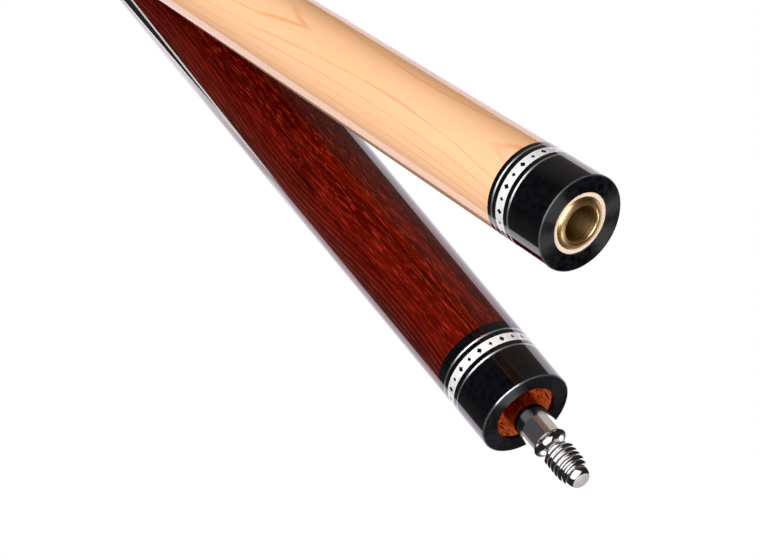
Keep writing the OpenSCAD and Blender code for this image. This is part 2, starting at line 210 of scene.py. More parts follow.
def lay_floor():
    """A plain white floor that only the camera sees, because the world lights the cue from below."""
    half = FLOOR_SIZE / 2
    corners = [(-half, -half), (half, -half), (half, half), (-half, half)]
    mesh = bpy.data.meshes.new("floor")
    mesh.from_pydata([(x, y, -FLOOR_DROP) for x, y in corners], [], [(0, 1, 2, 3)])
    floor = bpy.data.objects.new("floor", mesh)
    bpy.context.scene.collection.objects.link(floor)
    for ray in ("diffuse", "glossy", "transmission", "volume_scatter", "shadow"):
        setattr(floor, "visible_" + ray, False)
    paper = bpy.data.materials.new("floor")
    paper.use_nodes = True
    paper.node_tree.nodes.clear()
    glow = put(paper.node_tree, "ShaderNodeEmission", WHITE, 1.0)
    put(paper.node_tree, "ShaderNodeOutputMaterial", glow.outputs[0])
    mesh.materials.append(paper)


def hang_light(name, aim, direction, away, size, power, tint=(1, 1, 1)):
    """A square of even light that faces that point from that direction."""
    data = bpy.data.lights.new(name, "AREA")
    data.shape = "SQUARE"
    data.size = size
    data.energy = power
    data.color = tint
    light = bpy.data.objects.new(name, data)
    bpy.context.scene.collection.objects.link(light)
    light.location = aim + direction * away
    light.rotation_mode = "QUATERNION"
    light.rotation_quaternion = direction.to_track_quat("Z", "Y")
    light.visible_camera = False
    return light


light_the_room()
lay_floor()
left = camera.rotation_quaternion @ KEY_SIDE.normalized()
key_from = camera_back * math.cos(KEY_LEFT) + left * math.sin(KEY_LEFT)
soft_box = hang_light("soft_box", butt["face"], key_from, KEY_AWAY, KEY_SIZE, KEY_POWER)
steel_box = hang_light("steel_box", butt["face"], key_from, KEY_AWAY, STEEL_BOX_SIZE, STEEL_BOX_POWER)
hang_light("front_light", butt["face"], FRONT_FROM.normalized(), FRONT_AWAY, FRONT_SIZE, FRONT_POWER)
barrel = butt["place"] @ Vector((0, 0, GLOW_AHEAD))
glows = [
    hang_light(name, barrel, Vector((0, side, 0)), GLOW_AWAY, GLOW_SIZE, GLOW_POWER, GLOW_TINT)
    for name, side in (("left_glow", -1), ("right_glow", 1))
]
film = bpy.context.scene.view_settings
film.view_transform = "Standard"
film.look = "None"
film.use_curve_mapping = True
film.curve_mapping.black_level = [BLACK_LEVEL] * 3
film.curve_mapping.update()


# The forearm
# Turned from a dark red tropical hardwood with short orange flecks along the grain, under a thick gloss
# lacquer. Its tenon runs through the ring work to the joint face, where the recess round the pin is raw wood.
BUTT_SHOWN_SIDE = math.radians(162.7)
RED_DEEP = (0.050, 0.0028, 0.0014, 1)
RED_BODY = (0.122, 0.0064, 0.0031, 1)
RED_FLECK = (0.290, 0.0190, 0.0088, 1)
RED_FIGURE = (0.270, 0.0290, 0.0110, 1)
RED_VEIN = (0.020, 0.0030, 0.0020, 1)
RED_FIGURE_TURN = math.radians(-62)
RED_FIGURE_YEARS = {
    "Pith": 500, "Spacing": 1.15, "Bow": 2.2, "Bow At": 34, "Bow Length": 105, "Wander": 1.5, "Phase": 0.0,
}
RED_FLECK_TURN = math.radians(-14)
RED_WANDER = (6, 40, 1.0)
RED_WARP = 2.4
RED_SIDE_WANDER = 0.9
RED_FLECKED_SIDE = (0.35, 1.25, 0.22, 1.0)
RED_FIGURED_SIDE = (-0.4, 0.9, 0.8, 0.25)
RED_YEAR_RISE = (0.45, 0.80)
RED_YEAR_FALL = (0.80, 0.95, 1.0, 0.0)
RED_BODY_GRAIN = (2.2, 70, 3.0, 0.32, 0.70)
RED_STREAK_GRAIN = (0.30, 9, 3.0, 0.35, 0.68)
RED_STREAK_SHARE = 0.6
RED_BREAK_GRAIN = (1.0, 7, 3.0, 0.38, 0.58, 0.15, 1.0)
RED_FLECK_GRAIN = (0.28, 3.6, 2.0, 0.56, 0.66)
RED_VEIN_GRAIN = (0.6, 45, 1.0, 0.60, 0.72)
RED_VEIN_SHARE = 0.85
YEAR_WANDER = (7, 50, 2.0)
RAW_WOOD = (0.700, 0.160, 0.056, 1)
RAW_DARK = (0.130, 0.026, 0.011, 1)
RAW_GRAIN = (0.7, 1.4, 4.0, 0.30, 0.60)
RECESS_RADIUS = 7.85
RECESS_REACH = 6
RECESS_SOFT = 0.1
LACQUER = {"Roughness": 0.5, "Specular_IOR_Level": 0.0, "Coat_Roughness": 0.025, "Coat_IOR": 1.5}


def new_group(name, inputs, outputs):
    """An empty shader node group: the group, and the outputs of its input node."""
    group = bpy.data.node_groups.new(name, "ShaderNodeTree")
    for socket in inputs:
        kind = "NodeSocketVector" if socket == "Point" else "NodeSocketFloat"
        group.interface.new_socket(socket, in_out="INPUT", socket_type=kind)
    for socket in outputs:
        group.interface.new_socket(socket, in_out="OUTPUT", socket_type="NodeSocketFloat")
    return group, put(group, "NodeGroupInput").outputs


def make_turned_axis():
    """Node group: how far along a half's axis a point is, how far round it in radians, and its radius."""
    group, given = new_group("turned_axis", ("Point",), ("Along", "Around", "Radius"))
    x, y, z = put(group, "ShaderNodeSeparateXYZ", given["Point"]).outputs
    flat = put(group, "ShaderNodeCombineXYZ", x, y, 0.0).outputs[0]
    radius = put(group, "ShaderNodeVectorMath", flat, operation="LENGTH").outputs["Value"]
    put(group, "NodeGroupOutput", z, calc(group, "ARCTAN2", y, x), radius)
    return group


def make_grain():
    """Node group: noise with features of that size across the grain and along it, shifted by a warp."""
    group, given = new_group("grain", ("Point", "Across", "Along", "Detail", "Warp"), ("Value",))
    size = put(group, "ShaderNodeCombineXYZ", given["Across"], given["Across"], given["Along"]).outputs[0]
    place = put(group, "ShaderNodeVectorMath", given["Point"], size, operation="DIVIDE").outputs[0]
    place = put(group, "ShaderNodeVectorMath", place, given["Warp"], operation="ADD").outputs[0]
    noise = put(group, "ShaderNodeTexNoise", place)
    noise.inputs["Scale"].default_value = 1.0
    group.links.new(given["Detail"], noise.inputs["Detail"])
    put(group, "NodeGroupOutput", noise.outputs[0])
    return group


def grained(tree, point, across, along, detail, warp=0.0):
    """Noise with features of that size, in millimetres."""
    return put(tree, "ShaderNodeGroup", point, across, along, detail, warp, node_tree=grain).outputs[0]


def make_growth():
    """Node group: the place in a year's growth, from 0 to 1, in rings that bow along their pith."""
    sizes = ("Pith", "Spacing", "Bow", "Bow At", "Bow Length", "Wander", "Phase")
    group, given = new_group("growth", ("Point", "Facing", *sizes), ("Year",))
    z = put(group, "ShaderNodeSeparateXYZ", given["Point"]).outputs[2]
    to_bark = put(group, "ShaderNodeVectorRotate", given["Point"], rotation_type="Z_AXIS", invert=True)
    group.links.new(given["Facing"], to_bark.inputs["Angle"])
    outward, aside = put(group, "ShaderNodeSeparateXYZ", to_bark.outputs[0]).outputs[:2]
    outward = calc(group, "ADD", outward, given["Pith"])
    ring = put(group, "ShaderNodeCombineXYZ", outward, aside, 0.0).outputs[0]
    ring = put(group, "ShaderNodeVectorMath", ring, operation="LENGTH").outputs["Value"]
    depth = calc(group, "SUBTRACT", ring, given["Pith"])
    swing = calc(group, "DIVIDE", calc(group, "ADD", z, given["Bow At"]), given["Bow Length"])
    swing = calc(group, "COSINE", calc(group, "MULTIPLY", swing, math.tau))
    depth = calc(group, "MULTIPLY_ADD", calc(group, "SUBTRACT", 1.0, swing), given["Bow"], depth)
    wander = grained(group, given["Point"], *YEAR_WANDER)
    depth = calc(group, "MULTIPLY_ADD", calc(group, "SUBTRACT", wander, 0.5), given["Wander"], depth)
    years = calc(group, "ADD", calc(group, "DIVIDE", depth, given["Spacing"]), given["Phase"])
    put(group, "NodeGroupOutput", calc(group, "FRACT", years))
    return group


turned_axis = make_turned_axis()
grain = make_grain()
growth = make_growth()


def new_material(name, **constants):
    """A material with one Principled shader. Its sockets take the constants, with _ for each space."""
    material = bpy.data.materials.new(name)
    material.use_nodes = True
    tree = material.node_tree
    tree.nodes.clear()
    shader = put(tree, "ShaderNodeBsdfPrincipled")
    put(tree, "ShaderNodeOutputMaterial", shader.outputs[0])
    for socket, value in constants.items():
        shader.inputs[socket.replace("_", " ")].default_value = value
    return material, tree, shader


def feed(tree, shader, **sockets):
    """Links outputs to the shader's sockets, spelled with _ for each space."""
    for socket, output in sockets.items():
        tree.links.new(output, shader.inputs[socket.replace("_", " ")])


def in_half(tree, half):
    """The shaded point in that half's own frame, in millimetres."""
    here = put(tree, "ShaderNodeTexCoord").outputs["Object"]
    place = (here, half["face"], half["turn"], (MM, MM, MM))
    return put(tree, "ShaderNodeMapping", *place, vector_type="TEXTURE").outputs[0]


def turned(tree, point):
    """That point's place along, around and out from the axis, by name."""
    return put(tree, "ShaderNodeGroup", point, node_tree=turned_axis).outputs


def grain_mask(tree, point, numbers, warp=0.0):
    """A mask from a grain's numbers: its size across and along in millimetres, its detail and its step."""
    across, along, detail, *step = numbers
    return fade(tree, grained(tree, point, across, along, detail, warp), *step)


def grown_year(tree, point, facing, sizes):
    """Where the point lies in its year's growth, in wood whose rings face that way round the axis."""
    return put(tree, "ShaderNodeGroup", point, facing, *sizes.values(), node_tree=growth).outputs[0]


def both(tree, mask, other):
    """Where both masks are set."""
    return calc(tree, "MULTIPLY", mask, other)


def bumped(tree, shader, height, depth):
    """Gives the shader a relief of that depth, in millimetres, where the height goes from 0 to 1."""
    bump = put(tree, "ShaderNodeBump")
    bump.inputs["Strength"].default_value = 1.0
    bump.inputs["Distance"].default_value = depth * MM
    tree.links.new(height, bump.inputs["Height"])
    feed(tree, shader, Normal=bump.outputs[0])


def red_wood():
    """Dark red flecked wood under gloss lacquer, raw and dull inside the recess."""
    material, tree, shader = new_material("red_wood", **LACQUER)
    point = in_half(tree, butt)
    axis = turned(tree, point)
    wander = grained(tree, point, *RED_WANDER)
    warp = calc(tree, "MULTIPLY", wander, RED_WARP)
    colour = mixed(tree, grain_mask(tree, point, RED_BODY_GRAIN, warp), RED_DEEP, RED_BODY)
    streaks = grain_mask(tree, point, RED_STREAK_GRAIN, warp)
    colour = mixed(tree, both(tree, streaks, RED_STREAK_SHARE), colour, RED_DEEP)
    # The photo shows the flecked side, with the figured one to its right and the plain one to its left
    turn = calc(tree, "SUBTRACT", axis["Around"], BUTT_SHOWN_SIDE + RED_FLECK_TURN)
    side = calc(tree, "COSINE", calc(tree, "MULTIPLY", turn, 2.0))
    side = calc(tree, "ADD", side, calc(tree, "MULTIPLY", wander, RED_SIDE_WANDER))
    flecked = fade(tree, side, *RED_FLECKED_SIDE)
    year = grown_year(tree, point, BUTT_SHOWN_SIDE + RED_FIGURE_TURN, RED_FIGURE_YEARS)
    figure = both(tree, fade(tree, year, *RED_YEAR_RISE), fade(tree, year, *RED_YEAR_FALL))
    figure = both(tree, figure, grain_mask(tree, point, RED_BREAK_GRAIN))
    figure = both(tree, figure, fade(tree, side, *RED_FIGURED_SIDE))
    colour = mixed(tree, figure, colour, RED_FIGURE)
    flecks = grain_mask(tree, point, RED_FLECK_GRAIN, warp)
    colour = mixed(tree, both(tree, flecks, flecked), colour, RED_FLECK)
    veins = grain_mask(tree, point, RED_VEIN_GRAIN, warp)
    colour = mixed(tree, both(tree, veins, RED_VEIN_SHARE), colour, RED_VEIN)
    front = fade(tree, axis["Along"], -RECESS_REACH - RECESS_SOFT, -RECESS_REACH)
    within = fade(tree, axis["Radius"], RECESS_RADIUS, RECESS_RADIUS + RECESS_SOFT, 1.0, 0.0)
    inside = both(tree, front, within)
    raw = mixed(tree, grain_mask(tree, point, RAW_GRAIN), RAW_DARK, RAW_WOOD)
    feed(tree, shader, Base_Color=mixed(tree, inside, colour, raw),
         Coat_Weight=calc(tree, "SUBTRACT", 1.0, inside))
    return material


def dress(material, slot, *nodes):
    """Gives CAD nodes that material. Its slot argument, the record's finish slot, is not used."""
    for name in nodes:
        mesh = frame["nodes"][name].data
        mesh.materials.clear()
        mesh.materials.append(material)


forearm_wood = red_wood()
dress(forearm_wood, "butt_wood", "forearm")


# The points
# Strips of black wood stand in V grooves milled into the forearm, each lined with a white veneer. They were
# glued in straight and square, and came to a point where the turned taper runs out of the groove.
POINT_BLACK = (0.0035, 0.0032, 0.0034, 1)
POINT_PORES = (0.0160, 0.0110, 0.0090, 1)
VENEER_WHITE = (0.80, 0.78, 0.74, 1)
VENEER_LINES = (0.60, 0.54, 0.46, 1)
PORE_GRAIN = (0.18, 5, 3.0, 0.50, 0.72)
PORE_BAND_GRAIN = (1.6, 60, 2.0, 0.30, 0.70)
PORE_BAND_SHARE = 0.6
PORE_SHARE = 0.3


def plain_wood(name, half, colour, lines, coat):
    """Even straight-grained wood, with so much lacquer over it."""
    material, tree, shader = new_material(name, **LACQUER, Coat_Weight=coat)
    point = in_half(tree, half)
    bands = grain_mask(tree, point, PORE_BAND_GRAIN)
    share = calc(tree, "MULTIPLY_ADD", bands, PORE_BAND_SHARE, PORE_SHARE)
    pores = both(tree, grain_mask(tree, point, PORE_GRAIN), share)
    feed(tree, shader, Base_Color=mixed(tree, pores, colour, lines))
    return material


dress(plain_wood("black_point", butt, POINT_BLACK, POINT_PORES, coat=1.0), "black_wood", "points")
dress(plain_wood("point_veneer", butt, VENEER_WHITE, VENEER_LINES, coat=1.0), "white_veneer", "point_veneers")


# The joint pin
# Turned from stainless steel and polished: a barrel that guides the shaft, a waist where the thread tool ran
# out, and a short right-handed thread that runs out on a rounded nose, whose end is sawn flat. Its root is
# screwed and glued into the forearm.
PIN_BACK = (
    (0, -45), (3.2, -45), (4.2, -44), (4.2, -5), (3.95, -5),
    # A second point near each end of the barrel keeps the shading of its ends off its length
    (3.95, -4.9), (3.95, 9.25), (3.95, 9.3), (3.92, 9.37),
)
PIN_WAIST = (3.86, 10.85)
WAIST_HOLLOW = (1.66, 1.45)
THREAD_START = ((2.2, 11.35), (3.6, 12.75))
THREAD_END = (3.6, 17.4)
PIN_END = 21.4
NOSE_RADIUS = 2.9
NOSE_ROUND = 1.7
NOSE_TURN = 68
NOSE_STEPS = 24
PIN_SIDES = 192
PIN_SHARP = 35
FINE_STEP = 0.03
THREAD = {"Lead": 1.25, "Depth": 0.45, "Start": 11.9, "End": 20.0, "Phase": 0.468}
THREAD_FLANK = (0.06, 0.46)
THREAD_RUN_IN = 0.3
THREAD_RUN_OUT = 0.6
STEEL = (0.74, 0.73, 0.72, 1)
STEEL_MARK = (0.58, 0.57, 0.56, 1)
STEEL_FINISH = {"gloss": 0.05, "dull": 0.17, "drawn": 0.4, "spacing": 0.12, "depth": 0.0001}
SAWN_END = {
    "where": (21.3, 22, 4), "colours": ((0.88, 0.83, 0.81, 1), (0.76, 0.71, 0.69, 1)),
    "metal": 0.2, "rougher": 0.4,
}
PATCH_SOFT = 0.03
PATCH_RIM_SOFT = 0.05
MARK_DETAIL = 3.0
MARK_STEP = (0.30, 0.70)
MARK_SLANT = 1.7
ACROSS_MARKS = 0.25


def rounded(centre, across, along, start, end, steps=12):
    """Points on an ellipse, from one angle to the other, in degrees."""
    angles = [math.radians(start + (end - start) * i / steps) for i in range(steps + 1)]
    return [(centre[0] + across * math.cos(a), centre[1] + along * math.sin(a)) for a in angles]


def lathed(name, outline, sides, fine_from, fine_to):
    """A solid turned about Z from (radius, height) points, in short steps between those two heights."""
    rows = []
    for (r0, z0), (r1, z1) in zip(outline, outline[1:]):
        fine = min(z0, z1) >= fine_from and max(z0, z1) <= fine_to
        count = max(1, math.ceil(math.hypot(r1 - r0, z1 - z0) / FINE_STEP)) if fine else 1
        rows += [(r0 + (r1 - r0) * i / count, z0 + (z1 - z0) * i / count) for i in range(count)]
    rows = rows[1:]
    turns = [(math.cos(math.tau * i / sides), math.sin(math.tau * i / sides)) for i in range(sides)]
    points = [(r * c, r * s, z) for r, z in rows for c, s in turns]
    back, front = len(points), len(points) + 1
    points += [(0, 0, outline[0][1]), (0, 0, outline[-1][1])]
    faces = []
    last = (len(rows) - 1) * sides
    for i in range(sides):
        j = (i + 1) % sides
        faces.append((back, j, i))
        faces += [(k + i, k + j, k + j + sides, k + i + sides) for k in range(0, last, sides)]
        faces.append((last + i, last + j, front))
    mesh = bpy.data.meshes.new(name)
    mesh.from_pydata(points, [], faces)
    return mesh


def new_rule(name, inputs):
    """A Geometry Nodes tree with number inputs of those names, and the outputs of its input node."""
    tree = bpy.data.node_groups.new(name, "GeometryNodeTree")
    tree.interface.new_socket("Geometry", in_out="INPUT", socket_type="NodeSocketGeometry")
    for socket in inputs:
        tree.interface.new_socket(socket, in_out="INPUT", socket_type="NodeSocketFloat")
    tree.interface.new_socket("Material", in_out="INPUT", socket_type="NodeSocketMaterial")
    tree.interface.new_socket("Geometry", in_out="OUTPUT", socket_type="NodeSocketGeometry")
    return tree, put(tree, "NodeGroupInput").outputs


def end_rule(tree, geometry, material):
    """Ends the tree with plain geometry in that material."""
    plain = put(tree, "GeometryNodeRealizeInstances", geometry).outputs[0]
    painted = put(tree, "GeometryNodeSetMaterial", plain)
    tree.links.new(material, painted.inputs["Material"])
    put(tree, "NodeGroupOutput", painted.outputs[0])


def grown(name, tree, source, values, half, sharp):
    """A plain mesh piece that the tree makes from the source mesh, moved from millimetres into its place."""
    maker = bpy.data.objects.new(name + "_maker", source)
    bpy.context.scene.collection.objects.link(maker)
    modifier = maker.modifiers.new("rule", "NODES")
    modifier.node_group = tree
    for socket in tree.interface.items_tree:
        if socket.in_out == "INPUT" and socket.name in values:
            modifier[socket.identifier] = values[socket.name]
    mesh = bpy.data.meshes.new_from_object(maker.evaluated_get(bpy.context.evaluated_depsgraph_get()))
    bpy.data.objects.remove(maker)
    mesh.name = name
    mesh.transform(half["place"])
    mesh.shade_smooth()
    mesh.set_sharp_from_angle(angle=math.radians(sharp))
    piece = bpy.data.objects.new(name, mesh)
    bpy.context.scene.collection.objects.link(piece)
    return piece


def thread_rule():
    """Cuts a helical groove into a turned blank, which fades out at both ends."""
    tree, given = new_rule("cut_thread", tuple(THREAD))
    place = put(tree, "GeometryNodeInputPosition").outputs[0]
    x, y, z = put(tree, "ShaderNodeSeparateXYZ", place).outputs
    flat = put(tree, "ShaderNodeCombineXYZ", x, y, 0.0).outputs[0]
    radius = put(tree, "ShaderNodeVectorMath", flat, operation="LENGTH").outputs["Value"]
    around = calc(tree, "DIVIDE", calc(tree, "ARCTAN2", y, x), math.tau)
    turns = calc(tree, "SUBTRACT", calc(tree, "DIVIDE", z, given["Lead"]), around)
    from_crest = calc(tree, "FRACT", calc(tree, "ADD", calc(tree, "SUBTRACT", turns, given["Phase"]), 0.5))
    from_crest = calc(tree, "ABSOLUTE", calc(tree, "SUBTRACT", from_crest, 0.5))
    groove = calc(tree, "MULTIPLY", fade(tree, from_crest, *THREAD_FLANK), given["Depth"])
    starts = fade(tree, z, given["Start"], calc(tree, "ADD", given["Start"], THREAD_RUN_IN))
    ends = fade(tree, z, calc(tree, "SUBTRACT", given["End"], THREAD_RUN_OUT), given["End"], 1.0, 0.0)
    cut = calc(tree, "MULTIPLY", groove, calc(tree, "MULTIPLY", starts, ends))
    kept = calc(tree, "SUBTRACT", 1.0, calc(tree, "DIVIDE", cut, radius))
    moved = put(tree, "ShaderNodeVectorMath", flat, operation="SCALE")
    tree.links.new(kept, moved.inputs["Scale"])
    height = put(tree, "ShaderNodeCombineXYZ", 0.0, 0.0, z).outputs[0]
    moved = put(tree, "ShaderNodeVectorMath", moved.outputs[0], height, operation="ADD").outputs[0]
    threaded = put(tree, "GeometryNodeSetPosition", given["Geometry"], None, moved).outputs[0]
    end_rule(tree, threaded, given["Material"])
    return tree


def make_lathe_marks():
    """Node group: the fine marks of the lathe, from 0 to 1, along a distance in millimetres."""
    group, given = new_group("lathe_marks", ("Distance", "Spacing"), ("Marks",))
    noise = put(group, "ShaderNodeTexNoise", noise_dimensions="1D")
    group.links.new(calc(group, "DIVIDE", given["Distance"], given["Spacing"]), noise.inputs["W"])
    noise.inputs["Scale"].default_value = 1.0
    noise.inputs["Detail"].default_value = MARK_DETAIL
    put(group, "NodeGroupOutput", fade(group, noise.outputs[0], *MARK_STEP))
    return group


lathe_marks = make_lathe_marks()


def marked(tree, distance, spacing):
    """The marks of the lathe along that distance."""
    return put(tree, "ShaderNodeGroup", distance, spacing, node_tree=lathe_marks).outputs[0]


def round_axis(tree, half):
    """The direction in which the lathe cut: round the half's axis."""
    here = put(tree, "ShaderNodeTexCoord").outputs["Object"]
    out = put(tree, "ShaderNodeVectorMath", here, half["face"], operation="SUBTRACT").outputs[0]
    cut = put(tree, "ShaderNodeVectorMath", half["axis"], out, operation="CROSS_PRODUCT").outputs[0]
    return put(tree, "ShaderNodeVectorTransform", cut, convert_from="OBJECT", convert_to="WORLD").outputs[0]


def in_ring(tree, axis, back, front, radius):
    """A mask for what lies between two places along the axis and within that radius."""
    ahead = fade(tree, axis["Along"], back - PATCH_SOFT, back + PATCH_SOFT)
    behind = fade(tree, axis["Along"], front - PATCH_SOFT, front + PATCH_SOFT, 1.0, 0.0)
    within = fade(tree, axis["Radius"], radius - PATCH_RIM_SOFT, radius + PATCH_RIM_SOFT, 1.0, 0.0)
    return both(tree, both(tree, ahead, behind), within)


def turned_metal(name, half, colour, mark_colour, finish, patch=None):
    """Metal with the lathe's marks, which draw highlights out across them, and a patch of another finish."""
    material, tree, shader = new_material(
        name, Metallic=1.0, Anisotropic=finish["drawn"], Anisotropic_Rotation=ACROSS_MARKS
    )
    axis = turned(tree, in_half(tree, half))
    distance = calc(tree, "MULTIPLY_ADD", axis["Along"], MARK_SLANT, axis["Radius"])
    marks = marked(tree, distance, finish["spacing"])
    colours = mixed(tree, marks, colour, mark_colour)
    rough = fade(tree, marks, 0.0, 1.0, finish["gloss"], finish["dull"])
    if patch:
        other = in_ring(tree, axis, *patch["where"])
        colours = mixed(tree, other, colours, mixed(tree, marks, *patch["colours"]))
        rough = calc(tree, "MULTIPLY_ADD", other, patch["rougher"], rough)
        if "metal" in patch:
            feed(tree, shader, Metallic=fade(tree, other, 0.0, 1.0, 1.0, patch["metal"]))
    feed(tree, shader, Base_Color=colours, Roughness=rough, Tangent=round_axis(tree, half))
    bumped(tree, shader, marks, finish["depth"])
    return material


def link_light(light, piece, state):
    """Keeps the light to that piece alone, or away from it."""
    reached = bpy.data.collections.new(light.name + "_reach")
    reached.objects.link(piece)
    reached.collection_objects[0].light_linking.link_state = state
    light.light_linking.receiver_collection = reached


steel = turned_metal("polished_steel", butt, STEEL, STEEL_MARK, STEEL_FINISH, SAWN_END)
nose_centre = (NOSE_RADIUS - NOSE_ROUND, PIN_END - NOSE_ROUND * math.sin(math.radians(NOSE_TURN)))
pin_outline = [
    *PIN_BACK, *rounded(PIN_WAIST, *WAIST_HOLLOW, -90, -180), *THREAD_START, THREAD_END,
    *rounded(nose_centre, NOSE_ROUND, NOSE_ROUND, 0, NOSE_TURN, NOSE_STEPS), (0, PIN_END),
]
blank = lathed("pin_blank", pin_outline, PIN_SIDES, THREAD_START[0][1], nose_centre[1])
pin = grown("pin_turned", thread_rule(), blank, {**THREAD, "Material": steel}, butt, PIN_SHARP)
link_light(soft_box, pin, "EXCLUDE")
for light in (steel_box, *glows):
    link_light(light, pin, "INCLUDE")
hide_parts("joint_pin")
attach(pin, "butt")


# The butt's ring work
# A black resin collar with a flat joint face, then rings of bright metal and of black and white resin, with
# black diamonds let into the white one. All are glued in a stack on the tenon, turned and polished in place.
RESIN_BLACK = (0.0035, 0.0035, 0.0042, 1)
RESIN_CLOUD = (0.0062, 0.0060, 0.0066, 1)
RESIN_WHITE = (0.78, 0.775, 0.78, 1)
RESIN_CREAM = (0.72, 0.71, 0.695, 1)
RESIN_CLOUD_GRAIN = (1.5, 1.5, 4.0, 0.3, 0.7)
RESIN_SMEAR_GRAIN = (2, 6, 3.0, 0.3, 0.7, 0.04, 0.09)
RESIN_ROUGH = 0.05
FACE_MARK = (0.016, 0.016, 0.018, 1)
FACE_MARK_SPACING = 0.16
FACE_MARK_DEPTH = 0.001
FACE_MARK_ROUGHER = 0.12
FACE_ROUGHER = 0.30
FACE_FROM = (-0.06, -0.02)
SILVER = (0.88, 0.88, 0.90, 1)
SILVER_MARK = (0.74, 0.74, 0.77, 1)
SILVER_FINISH = {"gloss": 0.42, "dull": 0.55, "drawn": 0.9, "spacing": 0.06, "depth": 0.001}
FACE_CHAMFER = 0.25
CHAMFER_SOFT = 0.02
# The lighter colour on the chamfer is a painted highlight, broken up by the clouds so that it looks worn
EDGE_HIGHLIGHT_SOFT = 0.05
EDGE_HIGHLIGHT_SHARE = 0.75
# A bright metallic grey painted along the butt collar's chamfer as its highlight
BUTT_EDGE_HIGHLIGHT = {"colour": (0.42, 0.42, 0.44, 1), "from_radius": 10.42, "metal": 0.9, "rough": 0.28}


def gloss_resin(name, colour, cloud):
    """Polished resin, a little cloudy and with faint smears."""
    material, tree, shader = new_material(name, IOR=1.5)
    point = in_half(tree, butt)
    clouds = grain_mask(tree, point, RESIN_CLOUD_GRAIN)
    feed(tree, shader, Base_Color=mixed(tree, clouds, colour, cloud),
         Roughness=grain_mask(tree, point, RESIN_SMEAR_GRAIN))
    return material


def collar_resin(name, half, edge_wear_and_highlight):
    """Polished black resin round a flat face that still has the marks of the lathe, with a lighter edge
    painted on as highlight and wear.
    """
    material, tree, shader = new_material(name, IOR=1.5, Anisotropic=1.0, Anisotropic_Rotation=ACROSS_MARKS)
    point = in_half(tree, half)
    axis = turned(tree, point)
    face = fade(tree, axis["Along"], *FACE_FROM)
    outside = fade(tree, axis["Radius"], edge_wear_and_highlight["from_radius"], edge_wear_and_highlight["from_radius"] + EDGE_HIGHLIGHT_SOFT)
    chamfer = fade(tree, axis["Along"], -FACE_CHAMFER - CHAMFER_SOFT, -FACE_CHAMFER + CHAMFER_SOFT)
    edge = both(tree, outside, chamfer)
    marks = marked(tree, axis["Radius"], FACE_MARK_SPACING)
    clouds = grain_mask(tree, point, RESIN_CLOUD_GRAIN)
    colour = mixed(tree, clouds, RESIN_BLACK, RESIN_CLOUD)
    colour = mixed(tree, both(tree, face, both(tree, marks, clouds)), colour, FACE_MARK)
    # Painted highlight along the chamfer, patchy like wear
    bright = both(tree, edge, fade(tree, clouds, 0.0, 1.0, 1.0, EDGE_HIGHLIGHT_SHARE))
    colour = mixed(tree, bright, colour, edge_wear_and_highlight["colour"])
    dull = calc(tree, "MULTIPLY_ADD", marks, FACE_MARK_ROUGHER, FACE_ROUGHER)
    dull = calc(tree, "MULTIPLY_ADD", face, dull, RESIN_ROUGH)
    feed(tree, shader, Base_Color=colour, Tangent=round_axis(tree, half),
         Roughness=calc(tree, "MULTIPLY_ADD", edge, edge_wear_and_highlight["rough"], dull))
    if "metal" in edge_wear_and_highlight:
        feed(tree, shader, Metallic=both(tree, edge, edge_wear_and_highlight["metal"]))
    bumped(tree, shader, both(tree, marks, face), FACE_MARK_DEPTH)
    return material


black_resin = gloss_resin("black_resin", RESIN_BLACK, RESIN_CLOUD)
white_resin = gloss_resin("white_resin", RESIN_WHITE, RESIN_CREAM)
dress(collar_resin("butt_collar_resin", butt, BUTT_EDGE_HIGHLIGHT), "black_resin", "butt_collar")
dress(black_resin, "black_resin", "butt_black_rings", "butt_band",
      "butt_large_diamonds", "butt_small_diamonds")
dress(white_resin, "white_resin", "butt_white_ring")
silver_line = turned_metal("silver_line", butt, SILVER, SILVER_MARK, SILVER_FINISH)
dress(silver_line, "silver_line", "butt_lines")


# The handle
# A straight core of pale wood, turned and left bare, because the wrap, the sleeve and the cap cover it. A
# steel screw joins it to the forearm under a second stack of rings, and a steel weight stands in the bore
# at its back end.
CORE_WOOD = (0.42, 0.24, 0.11, 1)
CORE_LINES = (0.27, 0.13, 0.05, 1)

dress(plain_wood("handle_core", butt, CORE_WOOD, CORE_LINES, coat=0.0), "core_wood", "handle")
dress(steel, "pin_steel", "joining_screw", "weight_bolt")
dress(black_resin, "black_resin", "fore_black_rings")
dress(white_resin, "white_resin", "fore_white_ring")
dress(silver_line, "silver_line", "fore_lines")


# The wrap
# One length of waxed linen cord, black with pale flecks, wound tight round the handle from end to end and
# pressed flat with a hot iron, so that its turns lie close and flush with the rings.
WRAP_FRONT = -322.5
WRAP_BACK = -640
WRAP_TURNS = 350
WRAP_STEPS = 24
CORD = {
    "Front Radius": 12.851, "Back Radius": 15.264, "Turns": WRAP_TURNS, "Length": WRAP_FRONT - WRAP_BACK,
    "Half Thickness": 0.3, "Half Width": 0.48,
}
CORD_SIDES = 6
CORD_SHARP = 80
LINEN_BLACK = (0.010, 0.010, 0.011, 1)
LINEN_GREY = (0.060, 0.060, 0.062, 1)
LINEN_FLECK = (0.420, 0.410, 0.390, 1)
LINEN_FIBRES = (0.25, 0.25, 3.0)
LINEN_FIBRE_STEP = (0.35, 0.70)
LINEN_FIBRE_DEPTH = 0.05
LINEN_FLECK_GRAIN = (0.8, 0.5, 1.0, 0.60, 0.70)


